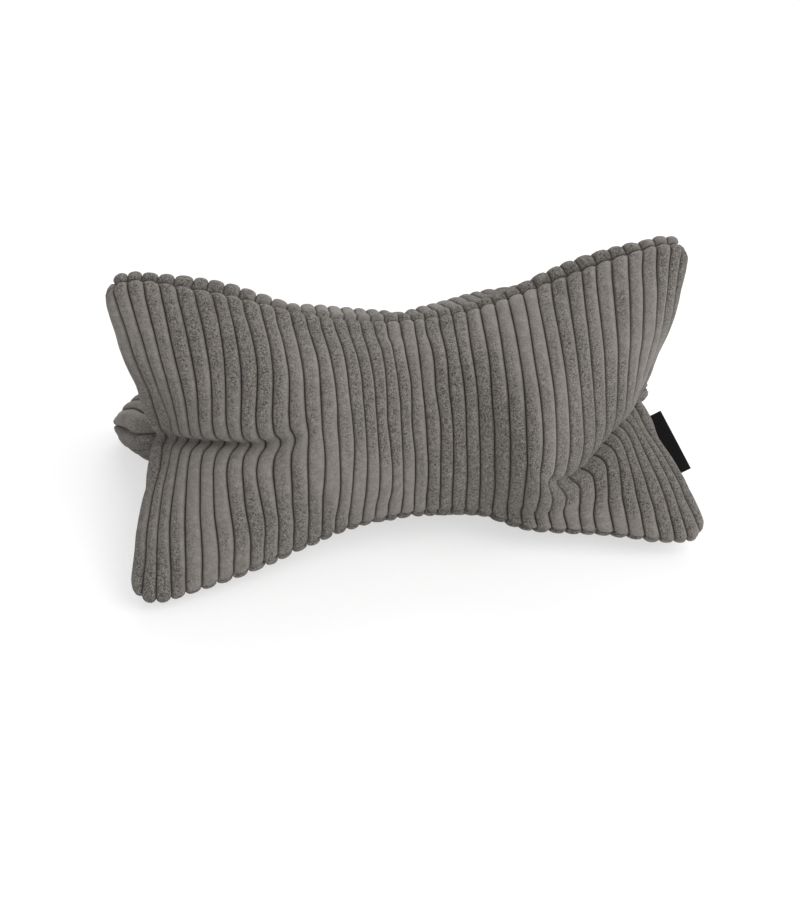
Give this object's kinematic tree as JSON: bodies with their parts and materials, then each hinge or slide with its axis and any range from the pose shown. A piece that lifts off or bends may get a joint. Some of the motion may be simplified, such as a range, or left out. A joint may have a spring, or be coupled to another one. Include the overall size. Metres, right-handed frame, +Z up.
{
  "type": "neck pillow",
  "caption": "Bone-shaped stuffed neck pillow of ribbed corduroy. Its ends swell into lobes that it rests on, and the neck lies over the narrow waist between them.",
  "frame": {"origin": "on the floor, under the middle of the pillow's bounding box", "axes": "+X along the pillow from notch to notch, towards the end with the label; +Z up through the upper lobes; the front panel faces -Y, tilted up by 30 degrees"},
  "size_m": [0.4226, 0.2285, 0.205],
  "materials": {
    "corduroy": "matte wide-wale corduroy with a short brushed pile, warm grey",
    "label_tape": "matte woven tape, black, plain"
  },
  "bodies": {
    "root": {"pillow": "corduroy", "side_label": "label_tape"}
  },
  "joints": []
}
